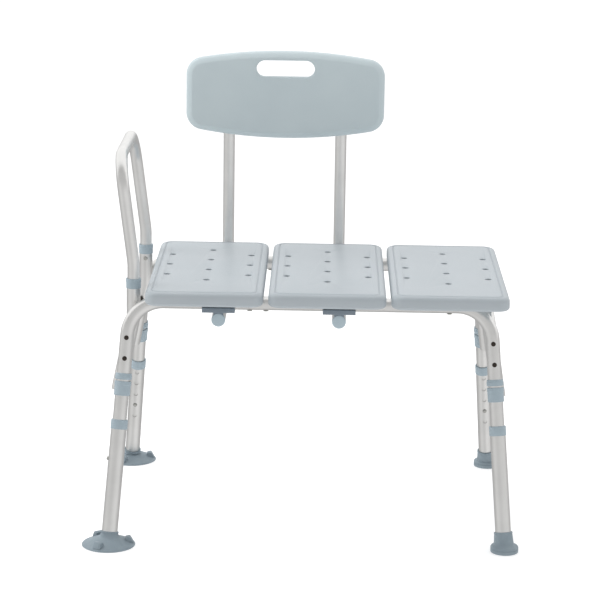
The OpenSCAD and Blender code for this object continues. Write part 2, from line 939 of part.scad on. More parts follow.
arm_button(-1);  // arm_button_front
arm_button(1);  // arm_button_rear
backrest_panel();
backrest_tube(-1);  // backrest_tube_left
backrest_tube(1);  // backrest_tube_right
backrest_button(-1);  // backrest_button_left
backrest_button(1);  // backrest_button_right
backrest_screws();
backrest_sleeve(-1);  // backrest_sleeve_left
backrest_sleeve(1);  // backrest_sleeve_right
end_cap(-1);  // end_cap_left
end_cap(1);  // end_cap_right
saddle(-1, -1);  // saddle_front_left
saddle(1, -1);  // saddle_front_right
saddle(-1, 1);  // saddle_rear_left
saddle(1, 1);  // saddle_rear_right
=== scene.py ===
import json
import math

import bmesh
import bpy
from mathutils import Matrix, Vector


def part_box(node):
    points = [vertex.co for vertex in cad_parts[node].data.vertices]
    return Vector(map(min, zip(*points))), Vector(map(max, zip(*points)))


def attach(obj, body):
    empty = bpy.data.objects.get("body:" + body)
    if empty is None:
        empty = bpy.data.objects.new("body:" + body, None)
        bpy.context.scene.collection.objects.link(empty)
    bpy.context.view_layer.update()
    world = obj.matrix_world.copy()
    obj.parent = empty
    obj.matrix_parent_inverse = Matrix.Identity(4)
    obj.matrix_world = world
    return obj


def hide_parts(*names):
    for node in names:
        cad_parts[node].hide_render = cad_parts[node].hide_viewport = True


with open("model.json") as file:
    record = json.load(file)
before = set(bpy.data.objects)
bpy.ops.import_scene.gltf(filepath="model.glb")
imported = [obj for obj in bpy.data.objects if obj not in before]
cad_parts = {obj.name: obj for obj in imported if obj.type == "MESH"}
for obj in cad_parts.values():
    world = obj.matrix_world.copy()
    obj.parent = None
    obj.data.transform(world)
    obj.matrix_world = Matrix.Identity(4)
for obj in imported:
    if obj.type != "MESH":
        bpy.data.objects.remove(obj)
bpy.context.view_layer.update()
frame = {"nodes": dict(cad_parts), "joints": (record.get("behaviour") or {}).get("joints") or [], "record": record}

LEGS = ("fl", "fr", "rl", "rr")

UP = Vector((0, 0, 1))
# How far a cutter goes past the ends of what it cuts
OVERSHOOT = 0.01

# Sizes that the frame's boxes don't give, in metres: the tubes' radii, the pads' underside and
# drain holes, and the backrest panel's hand slot and outline
RAIL_R = 0.0127
LOWER_TUBE_R = 0.0143
ARM_TUBE_R = 0.0111
PAD_RECESS = 0.0030
DRAIN_R = 0.006
DRAIN_PITCH_X = 0.076
DRAIN_PITCH_Y = 0.0874
DRAIN_BACK = 0.0118
SLOT_W = 0.114
SLOT_H = 0.033
SLOT_DROP = 0.033
PANEL_ARCH_R = 0.95
PANEL_CORNER_R = 0.034
PANEL_LEAST_R = 0.008


# ---- geometry helpers ----

def new_object(name, mesh):
    obj = bpy.data.objects.new(name, mesh)
    bpy.context.scene.collection.objects.link(obj)
    return obj


def from_faces(name, points, faces):
    mesh = bpy.data.meshes.new(name)
    mesh.from_pydata([tuple(p) for p in points], [], faces)
    mesh.update()
    bm = bmesh.new()
    bm.from_mesh(mesh)
    bmesh.ops.recalc_face_normals(bm, faces=bm.faces)
    bm.to_mesh(mesh)
    bm.free()
    return new_object(name, mesh)


def skin(name, loops, closed=False):
    """Joins loops of points with quads.

    The two ends get a face each, or closed joins the last loop to the first.
    """
    size = len(loops[0])
    points = [p for loop in loops for p in loop]
    faces = []
    last = len(loops) if closed else len(loops) - 1
    for i in range(last):
        a, b = i * size, (i + 1) % len(loops) * size
        for k in range(size):
            n = (k + 1) % size
            faces.append((a + k, a + n, b + n, b + k))
    if not closed:
        faces.append(tuple(reversed(range(size))))
        faces.append(tuple(range(len(points) - size, len(points))))
    return from_faces(name, points, faces)


def fillet(corners, steps=5):
    """Rounds the corners of a closed outline. Each corner is (x, y, radius)."""
    out = []
    for i, (x, y, radius) in enumerate(corners):
        p = Vector((x, y))
        a = Vector(corners[i - 1][:2]) - p
        b = Vector(corners[(i + 1) % len(corners)][:2]) - p
        half = a.angle(b) / 2
        if radius <= 0 or half > math.radians(89.5):
            out.append(p)
            continue
        cut = min(radius / math.tan(half), a.length * 0.49, b.length * 0.49)
        r = cut * math.tan(half)
        a.normalize()
        b.normalize()
        centre = p + (a + b).normalized() * (r / math.sin(half))
        start = p + a * cut - centre
        end = p + b * cut - centre
        for k in range(steps + 1):
            out.append(centre + start.slerp(end, k / steps).normalized() * r)
    return out


def ring(centre, axis, radius, count):
    """Points of a circle square to axis, always started from the same side."""
    axis = Vector(axis).normalized()
    u = (Vector((1, 0, 0)) - axis * axis.x).normalized()
    v = axis.cross(u)
    turns = [k * (math.tau / count) for k in range(count)]
    return [centre + (u * math.cos(t) + v * math.sin(t)) * radius for t in turns]


def revolve(name, outline, origin, axis):
    """Turns a closed outline of (radius, height) points about an axis that it doesn't touch."""
    axis = Vector(axis).normalized()
    loops = [ring(origin + axis * h, axis, r, 64) for r, h in outline]
    return skin(name, loops, closed=True)


def apply_modifiers(obj):
    depsgraph = bpy.context.evaluated_depsgraph_get()
    mesh = bpy.data.meshes.new_from_object(obj.evaluated_get(depsgraph))
    obj.modifiers.clear()
    obj.data = mesh
    return obj


def join(objs, name):
    """Puts several objects' meshes into one object."""
    bm = bmesh.new()
    for obj in objs:
        obj.data.transform(obj.matrix_world)
        bm.from_mesh(obj.data)
        bpy.data.objects.remove(obj)
    mesh = bpy.data.meshes.new(name)
    bm.to_mesh(mesh)
    bm.free()
    return new_object(name, mesh)


def combine(obj, others, operation):
    """Cuts the others out of obj or unites them with it."""
    tool = join(others, obj.name + "_tool")
    modifier = obj.modifiers.new("solid", "BOOLEAN")
    modifier.operation = operation
    modifier.solver = "EXACT"
    modifier.object = tool
    bpy.context.view_layer.update()
    apply_modifiers(obj)
    bpy.data.objects.remove(tool)
    return obj


def smooth(obj, angle):
    """Shades an object smooth, apart from edges sharper than angle in degrees."""
    for face in obj.data.polygons:
        face.use_smooth = True
    obj.data.set_sharp_from_angle(angle=math.radians(angle))
    return obj


def bevel(obj, width):
    modifier = obj.modifiers.new("bevel", "BEVEL")
    modifier.width = width
    modifier.segments = 3
    modifier.limit_method = "ANGLE"
    modifier.angle_limit = math.radians(30)
    modifier.use_clamp_overlap = True
    bpy.context.view_layer.update()
    return apply_modifiers(obj)


def block(name, low, high):
    (ax, ay, az), (bx, by, bz) = low, high
    bottom = [Vector((x, y, az)) for x, y in ((ax, ay), (bx, ay), (bx, by), (ax, by))]
    top = [Vector((p.x, p.y, bz)) for p in bottom]
    return skin(name, [bottom, top])


def bar(name, start, end, radius, count=64):
    axis = end - start
    return skin(name, [ring(start, axis, radius, count), ring(end, axis, radius, count)])


def finish_piece(obj, body, slot, material, *nodes):
    """Gives a piece its material and body, and hides the CAD nodes it stands for. The slot is not used."""
    obj.data.materials.clear()
    obj.data.materials.append(material)
    for face in obj.data.polygons:
        face.material_index = 0
    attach(obj, body)
    if nodes:
        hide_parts(*nodes)
    return obj


# ---- materials ----

def node_tree(name):
    material = bpy.data.materials.new(name)
    material.use_nodes = True
    nodes, links = material.node_tree.nodes, material.node_tree.links
    nodes.clear()
    out = nodes.new("ShaderNodeOutputMaterial")
    shader = nodes.new("ShaderNodeBsdfPrincipled")
    links.new(shader.outputs["BSDF"], out.inputs["Surface"])
    return material, nodes, links, shader


def position(nodes, links, scale=(1, 1, 1)):
    coords = nodes.new("ShaderNodeTexCoord")
    mapping = nodes.new("ShaderNodeMapping")
    mapping.inputs["Scale"].default_value = scale
    links.new(coords.outputs["Object"], mapping.inputs["Vector"])
    return mapping.outputs["Vector"]


def noise(nodes, links, vector, scale, detail=3, rough=0.5):
    texture = nodes.new("ShaderNodeTexNoise")
    texture.inputs["Scale"].default_value = scale
    texture.inputs["Detail"].default_value = detail
    texture.inputs["Roughness"].default_value = rough
    links.new(vector, texture.inputs["Vector"])
    return texture.outputs["Fac"]


def ramp(nodes, links, value, low, high):
    """Maps the middle of a texture's values, where most of them lie, to low and high."""
    mapped = nodes.new("ShaderNodeMapRange")
    mapped.inputs["From Min"].default_value = 0.3
    mapped.inputs["From Max"].default_value = 0.7
    mapped.inputs["To Min"].default_value = low
    mapped.inputs["To Max"].default_value = high
    links.new(value, mapped.inputs["Value"])
    return mapped.outputs["Result"]


def two_tone(nodes, links, value, first, second):
    mix = nodes.new("ShaderNodeMix")
    mix.data_type = "RGBA"
    mix.inputs["A"].default_value = (*first, 1)
    mix.inputs["B"].default_value = (*second, 1)
    links.new(value, mix.inputs["Factor"])
    return mix.outputs["Result"]


def relief(nodes, links, shader, layers):
    """Chains bump layers, each (height, distance in metres, strength)."""
    normal = None
    for height, distance, strength in layers:
        bump = nodes.new("ShaderNodeBump")
        bump.inputs["Distance"].default_value = distance
        bump.inputs["Strength"].default_value = strength
        links.new(height, bump.inputs["Height"])
        if normal:
            links.new(normal, bump.inputs["Normal"])
        normal = bump.outputs["Normal"]
    links.new(normal, shader.inputs["Normal"])


def moulded_plastic(name, light, dark, rough, grain):
    """Moulded plastic with slow flow marks and a stippled grain: (cells per metre, depth)."""
    grain_scale, grain_depth = grain
    material, nodes, links, shader = node_tree(name)
    at = position(nodes, links)
    cells = nodes.new("ShaderNodeTexVoronoi")
    cells.feature = "SMOOTH_F1"
    cells.inputs["Scale"].default_value = grain_scale
    cells.inputs["Smoothness"].default_value = 0.6
    links.new(at, cells.inputs["Vector"])
    fine = noise(nodes, links, at, scale=grain_scale * 2.2, detail=2)
    flow = noise(nodes, links, at, scale=9, detail=4, rough=0.55)
    shade = ramp(nodes, links, flow, 0, 1)
    links.new(two_tone(nodes, links, shade, light, dark), shader.inputs["Base Color"])
    links.new(ramp(nodes, links, fine, rough - 0.06, rough + 0.08), shader.inputs["Roughness"])
    shader.inputs["Specular IOR Level"].default_value = 0.45
    relief(nodes, links, shader, [
        (flow, 0.0006, 0.35),
        (cells.outputs["Distance"], grain_depth, 0.5),
        (fine, grain_depth * 0.5, 0.35),
    ])
    return material


def satin_rubber(name, light, dark):
    """Dusty satin rubber with fine pores and scuffs."""
    material, nodes, links, shader = node_tree(name)
    at = position(nodes, links)
    patches = noise(nodes, links, at, scale=38, detail=5, rough=0.6)
    pores = noise(nodes, links, at, scale=900, detail=2)
    scuffs = noise(nodes, links, position(nodes, links, (1, 1, 0.2)), scale=160)
    links.new(
        two_tone(nodes, links, ramp(nodes, links, patches, 0, 1), light, dark),
        shader.inputs["Base Color"],
    )
    links.new(ramp(nodes, links, scuffs, 0.42, 0.62), shader.inputs["Roughness"])
    shader.inputs["Specular IOR Level"].default_value = 0.4
    relief(nodes, links, shader, [(patches, 0.0008, 0.3), (pores, 0.00012, 0.5)])
    return material


def anodised(name, grain=(1, 1, 1)):
    """Satin anodised aluminium: haze, and faint lines along the axis that grain scales down."""
    tint = (0.87, 0.865, 0.85)
    rough = 0.33
    material, nodes, links, shader = node_tree(name)
    along = position(nodes, links, grain)
    lines = noise(nodes, links, along, scale=420, rough=0.6)
    at = position(nodes, links)
    haze = noise(nodes, links, at, scale=26, detail=4)
    etch = noise(nodes, links, at, scale=2200, detail=2)
    darker = tuple(0.93 * c for c in tint)
    links.new(
        two_tone(nodes, links, ramp(nodes, links, haze, 0, 1), tint, darker),
        shader.inputs["Base Color"],
    )
    links.new(ramp(nodes, links, lines, rough - 0.04, rough + 0.06), shader.inputs["Roughness"])
    shader.inputs["Metallic"].default_value = 1.0
    relief(nodes, links, shader, [(lines, 0.00001, 0.25), (etch, 0.000002, 0.2)])
    return material


def plated_steel(name, light, dark, rough, metallic):
    """Plated or blackened steel with spangle and small scratches."""
    material, nodes, links, shader = node_tree(name)
    at = position(nodes, links)
    spangle = noise(nodes, links, at, scale=260, detail=4)
    scratch = noise(nodes, links, position(nodes, links, (1, 0.15, 1)), scale=1500, detail=2)
    links.new(
        two_tone(nodes, links, ramp(nodes, links, spangle, 0, 1), light, dark),
        shader.inputs["Base Color"],
    )
    links.new(ramp(nodes, links, scratch, rough - 0.05, rough + 0.1), shader.inputs["Roughness"])
    shader.inputs["Metallic"].default_value = metallic
    relief(nodes, links, shader, [(scratch, 0.00003, 0.4)])
    return material


PAD_GRAIN = (620, 0.00022)
PANEL_GRAIN = (620, 0.0002)
FINE_GRAIN = (1400, 0.00004)

# Each has a light and a dark colour and a roughness
PAD = moulded_plastic("pad_plastic", (0.425, 0.465, 0.495), (0.40, 0.445, 0.475), 0.36, PAD_GRAIN)
PANEL = moulded_plastic("panel_plastic", (0.55, 0.63, 0.655), (0.52, 0.60, 0.63), 0.44, PANEL_GRAIN)
FITTING = moulded_plastic("fitting_plastic", (0.37, 0.45, 0.5), (0.34, 0.42, 0.47), 0.36, FINE_GRAIN)
SADDLE = moulded_plastic("saddle_plastic", (0.19, 0.23, 0.27), (0.17, 0.21, 0.25), 0.38, FINE_GRAIN)
CAP = moulded_plastic("cap_plastic", (0.44, 0.53, 0.58), (0.40, 0.49, 0.54), 0.36, FINE_GRAIN)
RUBBER = satin_rubber("foot_rubber", (0.275, 0.335, 0.375), (0.23, 0.285, 0.325))
TUBE = anodised("anodised_tube")
LEG_TUBE = anodised("anodised_leg", (1, 1, 0.02))
STEEL = plated_steel("zinc_plate", (0.60, 0.60, 0.57), (0.50, 0.50, 0.47), 0.32, 1.0)
DARK_STEEL = plated_steel("blackened_steel", (0.055, 0.043, 0.034), (0.03, 0.024, 0.02), 0.34, 0.6)

NODE_MATERIALS = {
    "anodised_tube": TUBE,
    "bright_steel": STEEL,
    "dark_steel": DARK_STEEL,
    "pad_plastic": PAD,
    "fitting_plastic": FITTING,
    "foot_rubber": RUBBER,
}


def paint_cad_nodes():
    """Every CAD node gets its slot's material. Upright tubes get the one with lines along Z."""
    slots = {part["node"]: part["material_slot"] for part in frame["record"]["subparts"]}
    for name, obj in frame["nodes"].items():
        material = NODE_MATERIALS[slots[name]]
        if name.startswith(("leg_tube", "leg_insert", "arm_socket", "arm_tube")):
            material = LEG_TUBE
        obj.data.materials.clear()
        obj.data.materials.append(material)


# ---- the seat ----

def rounded_loop(low, high, radius, z):
    """A rounded rectangle at height z, always with the same number of points."""
    steps = 10
    out = []
    corners = (
        (high[0] - radius, high[1] - radius, 0),
        (low[0] + radius, high[1] - radius, 90),
        (low[0] + radius, low[1] + radius, 180),
        (high[0] - radius, low[1] + radius, 270),
    )
    for x, y, start in corners:
        for k in range(steps + 1):
            a = math.radians(start + 90 * k / steps)
            out.append(Vector((x + radius * math.cos(a), y + radius * math.sin(a), z)))
    return out


def flared(low, high, flare, angles, beyond):
    """Steps for a cutter from low to high, each (height, extra radius), that widens at both ends.

    Flare is the widening's radius, and beyond is how far the cutter goes past low and past high.
    """
    quarter = [math.radians(a) for a in angles]
    curve = [(flare * (1 - math.sin(a)), flare * (1 - math.cos(a))) for a in quarter]
    steps = [(low - beyond[0], flare)]
    steps += [(low + inward, extra) for inward, extra in reversed(curve)]
    steps += [(high - inward, extra) for inward, extra in curve]
    steps.append((high + beyond[1], flare))
    return steps


def drain_cutter(x, y, low, high):
    """A round cutter that flares at both ends, so that the hole's edges come out rounded."""
    steps = flared(low, high, flare=0.0013, angles=(0, 22, 45, 68, 90), beyond=(0.001, 0.001))
    return skin("drain", [ring(Vector((x, y, z)), UP, DRAIN_R + extra, 32) for z, extra in steps])


def pad_section(thick):
    """The pad's section, from its recessed underside round the edge to its raised middle.

    Each step is (inset from the pad's outline, height above its foot).
    """
    foot_round = 0.006
    top_round = 0.0092
    crown_height = 0.0008
    rim = thick - crown_height
    groove_start = top_round + 0.0012
    quarter = [(math.cos(math.radians(a)), math.sin(math.radians(a))) for a in range(0, 91, 15)]
    steps = [(0.018, PAD_RECESS), (0.015, PAD_RECESS), (0.0142, 0.0006), (0.0136, 0.0)]
    steps += [(foot_round * (1 - s), foot_round * (1 - c)) for c, s in quarter]
    steps += [(top_round * (1 - c), rim - top_round * (1 - s)) for c, s in quarter]
    steps.append((top_round + 0.0006, rim + 0.0002))
    groove = [
        (0.0, 0.0), (0.0005, 0.0006), (0.0010, 0.0014),
        (0.0018, 0.0017), (0.0026, 0.0013), (0.0033, 0.0004),
    ]
    steps += [(groove_start + run, rim - drop) for run, drop in groove]
    crown = [
        (0.0056, 0.0001), (0.0074, 0.0004), (0.0134, 0.00065),
        (0.0280, crown_height), (0.0510, crown_height),
    ]
    steps += [(top_round + run, rim + rise) for run, rise in crown]
    return steps


def make_pad(side):
    """A blow-moulded pad with ten drain holes and a channel underneath for each rail."""
    node = "seat_pad_" + side
    low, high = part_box(node)
    thick = high.z - low.z
    corner_radius, least_radius = 0.022, 0.010
    channel_radius = RAIL_R + 0.0005
    loops = []
    for inset, z in pad_section(thick):
        radius = max(corner_radius - 0.6 * inset, least_radius)
        a = (low.x + inset, low.y + inset)
        b = (high.x - inset, high.y - inset)
        loops.append(rounded_loop(a, b, radius, low.z + z))
    pad = skin("pad_" + side, loops)
    centre = (low + high) / 2
    holes = [(column * DRAIN_PITCH_X, row) for row in (-1, 0, 1) for column in (-1, 1)]
    holes += [(0, row) for row in (-1.5, -0.5, 0.5, 1.5)]
    tools = []
    for x, row in holes:
        y = DRAIN_BACK + row * DRAIN_PITCH_Y
        tools.append(drain_cutter(centre.x + x, centre.y + y, low.z + PAD_RECESS, high.z))
    for rail in ("front_frame_tube", "rear_frame_tube"):
        rail_low, rail_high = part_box(rail)
        y = rail_high.y - RAIL_R if rail == "front_frame_tube" else rail_low.y + RAIL_R
        z = rail_high.z - RAIL_R
        start = Vector((low.x - OVERSHOOT, y, z))
        end = Vector((high.x + OVERSHOOT, y, z))
        tools.append(bar("channel", start, end, channel_radius))
    combine(pad, tools, "DIFFERENCE")
    smooth(pad, angle=38)
    return finish_piece(pad, "bench_frame", "pad_plastic", PAD, node)


# ---- the backrest ----

def arc(cx, cy, radius, start, end, steps, ends=True):
    """Points along an arc, with or without its two ends. Start and end are in degrees."""
    ks = range(steps + 1) if ends else range(1, steps)
    angles = [math.radians(start + (end - start) * k / steps) for k in ks]
    return [(cx + radius * math.cos(a), cy + radius * math.sin(a)) for a in angles]


def panel_outline(width, height, inset):
    """The panel's outline, arched at top and bottom, with round corners."""
    w, h = width - 2 * inset, height - 2 * inset
    arch = PANEL_ARCH_R - inset
    corner = max(PANEL_CORNER_R - inset, PANEL_LEAST_R)
    x = w / 2 - corner
    y = math.sqrt((arch - corner) ** 2 - x ** 2) - (arch - h / 2)
    lean = math.degrees(math.asin(x / (arch - corner)))
    return (
        arc(x, y, corner, 0, 90 - lean, 12)
        + arc(0, h / 2 - arch, arch, 90 - lean, 90 + lean, 24, False)
        + arc(-x, y, corner, 90 + lean, 180, 12)
        + arc(-x, -y, corner, 180, 270 - lean, 12)
        + arc(0, arch - h / 2, arch, 270 - lean, 270 + lean, 24, False)
        + arc(x, -y, corner, 270 + lean, 360, 12)
    )


def slot_outline(grow):
    """The hand slot: round ends and a slight arch along its length, to match the panel's top."""
    half = (SLOT_W - SLOT_H) / 2
    r = SLOT_H / 2 + grow
    out = arc(half, 0, r, -90, 90, 14) + arc(-half, 0, r, 90, 270, 14)
    sag = 0.0016
    return [(x, y - sag * (x / (SLOT_W / 2)) ** 2) for x, y in out]


def make_panel():
    """The backrest's panel: a softly rounded front, a tighter edge behind and the hand slot."""
    low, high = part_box("backrest_panel")
    centre = (low + high) / 2
    thick = high.y - low.y
    size = high - low

    def upright(outline, depth):
        return [Vector((centre.x + x, low.y + depth, centre.z + z)) for x, z in outline]

    # Each step is (inset, depth behind the front face)
    section = [
        (0.060, 0.0), (0.030, 0.0001), (0.0125, 0.0004), (0.0112, 0.0007), (0.0100, 0.0013),
        (0.0078, 0.0027), (0.0050, 0.0047), (0.0030, 0.0065), (0.0015, 0.0085), (0.0004, 0.0110),
    ]
    # The edge behind rounds over, and the face behind is sunk a little below it
    round_in, round_deep = 0.006, 0.0065
    back = thick - 0.0014
    section += [(0.0, 0.0135), (0.0, thick - round_deep)]
    for a in range(15, 91, 15):
        c, s = math.cos(math.radians(a)), math.sin(math.radians(a))
        section.append((round_in * (1 - c), thick - round_deep + round_deep * s))
    section += [(0.014, thick), (0.0148, thick - 0.0008), (0.016, back), (0.060, back)]
    loops = [upright(panel_outline(size.x, size.z, inset), depth) for inset, depth in section]
    panel = skin("backrest_panel_moulding", loops)
    slot_z = size.z / 2 - SLOT_DROP
    cutter_loops = []
    for depth, grow in flared(0, back, flare=0.0028, angles=range(0, 91, 18), beyond=(0.002, 0.004)):
        cutter_loops.append(upright([(x, z + slot_z) for x, z in slot_outline(grow)], depth))
    slot_tool = skin("slot_tool", cutter_loops)
    combine(panel, [slot_tool], "DIFFERENCE")
    smooth(panel, angle=38)
    return finish_piece(panel, "backrest", "pad_plastic", PANEL, "backrest_panel")


# ---- legs ----

def leg_axis(corner):
    """The direction up a leg, from its height joint."""
    joint = next(j for j in frame["joints"] if j["name"] == "leg_height_" + corner)
    return -Vector(joint["axis"]).normalized()


def barrel(node, axis):
    """The middle, length and radius of a round node, worked out from its box and its axis."""
    low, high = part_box(node)
    size = high - low
    # Along each direction the box is length * |axis| + 2 * radius * sqrt(1 - axis^2)
    az, ax = abs(axis.z), abs(axis.x)
    cz, cx = 2 * math.sqrt(1 - az * az), 2 * math.sqrt(1 - ax * ax)
    det = az * cx - ax * cz
    length = (size.z * cx - size.x * cz) / det
    radius = (az * size.x - ax * size.z) / det
    return (low + high) / 2, length, radius


def make_collar(node, corner, band_on_top):
    """A moulded sleeve with round shoulders and a slightly raised band at its top or its bottom."""
    axis = leg_axis(corner)
    middle, length, radius = barrel(node, axis)
    h = length / 2
    inner = RAIL_R + 0.0001
    body_radius = radius - 0.0006
    body_end = h - 0.0078
    band_start = h - 0.0072
    corners = [
        (inner, -h, 0), (body_radius, -h, 0.0012), (body_radius, body_end, 0.0003),
        (radius, band_start, 0.0004), (radius, h, 0.0014), (inner, h, 0),
    ]
    if not band_on_top:
        corners = [(r, -z, turn) for r, z, turn in reversed(corners)]
    outline = fillet(corners)
    collar = revolve(node + "_moulding", [(p.x, p.y) for p in outline], middle, axis)
    smooth(collar, angle=40)
    return finish_piece(collar, "bench_frame", "fitting_plastic", FITTING, node)


def make_ring(corner):
    """The ring on top of the sliding tube, with a rolled upper edge."""
    node = "leg_ring_" + corner
    axis = leg_axis(corner)
    middle, length, radius = barrel(node, axis)
    h = length / 2
    inner = RAIL_R + 0.0003
    ledge = h - 0.005
    outline = fillet([
        (LOWER_TUBE_R, -h, 0), (radius, -h, 0.0009), (radius, h, 0.0026), (inner, h, 0.0006),
        (inner, ledge, 0), (LOWER_TUBE_R, ledge, 0),
    ])
    obj = revolve(node + "_moulding", [(p.x, p.y) for p in outline], middle, axis)
    smooth(obj, angle=40)
    return finish_piece(obj, "lower_leg_" + corner, "fitting_plastic", FITTING, node)


def leg_foot(corner):
    """Where a leg's axis meets the floor."""
    axis = leg_axis(corner)
    middle, _, _ = barrel("leg_tube_" + corner, axis)
    return middle - axis * (middle.z / axis.z)


def foot_loops(foot, axis, level, tilted):
    """Level rings, each (radius, height), then rings that lean with the leg.

    Those are (radius, distance up the leg, share of its lean).
    """
    points = 96
    loops = [ring(Vector((foot.x, foot.y, z)), UP, radius, points) for radius, z in level]
    for radius, z, share in tilted:
        loops.append(ring(foot + axis * z, UP.lerp(axis, share).normalized(), radius, points))
    return loops


def make_suction_foot(corner, node):
    """A suction cup: a domed skirt on the floor, a hub in line with the leg, three release tabs."""
    axis = leg_axis(corner)
    foot = leg_foot(corner)
    low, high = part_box(node)
    # Just inside the CAD node's box
    r = (high.y - low.y) / 2 - 0.00002
    bore = LOWER_TUBE_R + 0.0001
    # The underside, the lip on the floor and the dome
    dome = [
        (0.004, 0.0048), (0.016, 0.0047), (r - 0.014, 0.0042), (r - 0.009, 0.0020),
        (r - 0.0062, 0.0006), (r - 0.005, 0.0001), (r - 0.0012, 0.0001), (r - 0.0002, 0.0007),
        (r, 0.0012), (r - 0.0003, 0.0020), (r - 0.0012, 0.0030), (r - 0.0030, 0.0040),
        (r - 0.0060, 0.0050), (r - 0.0100, 0.0064), (r - 0.016, 0.0089), (r - 0.022, 0.0118),
        (r - 0.0265, 0.0138), (r - 0.0300, 0.0151),
    ]
    hub = [
        (0.0176, 0.0170, 0.35), (0.0167, 0.0184, 0.75), (0.0161, 0.0196, 1), (0.0160, 0.0222, 1),
        (0.0163, 0.0228, 1), (0.0165, 0.0234, 1), (0.0165, 0.0243, 1), (0.0161, 0.0248, 1),
        (0.0152, 0.0250, 1), (0.0146, 0.0247, 1), (bore, 0.0240, 1), (bore, 0.0112, 1),
    ]
    loops = foot_loops(foot, axis, dome, hub)
    cup = skin(node + "_moulding", loops)
    outline = fillet([
        (r - 0.0190, 0.0060, 0), (r - 0.0175, 0.0145, 0.0010), (r - 0.0110, 0.0160, 0.0016),
        (r - 0.0085, 0.0145, 0.0014), (r - 0.0030, 0.0050, 0.0006), (r - 0.0060, 0.0030, 0),
    ], steps=4)
    middle = sum(outline, Vector((0, 0))) / len(outline)
    # Across each tab: (distance from its middle plane, how far the outline draws in)
    across = ((-0.0075, 0.0007), (-0.0068, 0.0), (0.0068, 0.0), (0.0075, 0.0007))
    centre = Vector((foot.x, foot.y, 0))
    tabs = []
    for turn in (5, 125, 245):
        out = Vector((math.cos(math.radians(turn)), math.sin(math.radians(turn)), 0))
        side = Vector((-out.y, out.x, 0))
        sections = []
        for offset, pinch in across:
            points = [p + (middle - p).normalized() * pinch for p in outline]
            sections.append([centre + out * q.x + side * offset + UP * q.y for q in points])
        tabs.append(skin("tab", sections))
    combine(cup, tabs, "UNION")
    smooth(cup, angle=42)
    return finish_piece(cup, "lower_leg_" + corner, "foot_rubber", RUBBER, node)


def make_rubber_tip(corner, node):
    """A rubber tip: a grooved flange on the floor and a tapered sleeve in line with the leg."""
    axis = leg_axis(corner)
    foot = leg_foot(corner)
    low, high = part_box(node)
    r = (high.x - low.x) / 2
    bore = LOWER_TUBE_R + 0.0001
    flange = [
        (0.004, 0.0012), (0.0185, 0.0012), (0.0192, 0.0002), (r - 0.0014, 0.0001),
        (r - 0.0004, 0.0005), (r, 0.0016), (r, 0.0066), (r - 0.0007, 0.0071),
        (r - 0.0007, 0.0079), (r, 0.0084), (r - 0.0001, 0.0100), (r - 0.0012, 0.0116),
        (r - 0.0034, 0.0127), (0.0204, 0.0131), (0.0192, 0.0137),
    ]
    sleeve = [
        (0.0184, 0.0150, 0.5), (0.0180, 0.0175, 1), (0.0168, 0.0318, 1), (0.0167, 0.0330, 1),
        (0.0171, 0.0334, 1), (0.0172, 0.0340, 1), (0.0171, 0.0354, 1), (0.0165, 0.0362, 1),
        (0.0154, 0.0365, 1), (0.0146, 0.0361, 1), (bore, 0.0351, 1), (bore, 0.0112, 1),
    ]
    loops = foot_loops(foot, axis, flange, sleeve)
    tip = skin(node + "_moulding", loops)
    smooth(tip, angle=42)
    return finish_piece(tip, "lower_leg_" + corner, "foot_rubber", RUBBER, node)


# ---- arm collars, end caps and saddles ----

def make_arm_collar(end):
    """The collar on an arm socket's mouth, with a raised band on top."""
    node = "arm_collar_" + end
    low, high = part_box(node)
    centre = (low + high) / 2
    radius = (high.x - low.x) / 2
    height = high.z - low.z
    base = Vector((centre.x, centre.y, low.z))
    mouth = ARM_TUBE_R + 0.0003
    body_radius = radius - 0.0005
    body_end = height - 0.0072
    band_start = height - 0.0066
    ledge = height - 0.002
    outline = fillet([
        (RAIL_R, 0, 0), (body_radius, 0, 0.0010), (body_radius, body_end, 0.0003),
        (radius, band_start, 0.0004), (radius, height, 0.0022), (mouth, height, 0.0005),
        (mouth, ledge, 0), (RAIL_R, ledge, 0),
    ])
    collar = revolve(node + "_moulding", [(p.x, p.y) for p in outline], base, (0, 0, 1))
    smooth(collar, angle=40)
    return finish_piece(collar, "bench_frame", "fitting_plastic", FITTING, node)


def make_end_cap(side):
    """A push-in plug with a domed face and a rolled edge."""
    node = "end_cap_" + side
    low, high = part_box(node)
    centre = (low + high) / 2
    r = (high.x - low.x) / 2
    back = Vector((0, 1, 0))
    face = Vector((centre.x, low.y, centre.z))
    plug = ARM_TUBE_R + 0.0002
    profile = [
        (0.002, 0.0), (r * 0.5, 0.0001), (r - 0.0020, 0.0003), (r - 0.0009, 0.0006),
        (r - 0.0002, 0.0013), (r, 0.0019), (r, 0.0024), (plug, 0.0025), (plug, 0.0115),
        (plug - 0.0015, 0.0140), (0.003, 0.0140),
    ]
    loops = [ring(face + back * depth, back, radius, 64) for radius, depth in profile]
    cap = skin(node + "_moulding", loops)
    smooth(cap, angle=40)
    return finish_piece(cap, "bench_frame", "fitting_plastic", CAP, node)


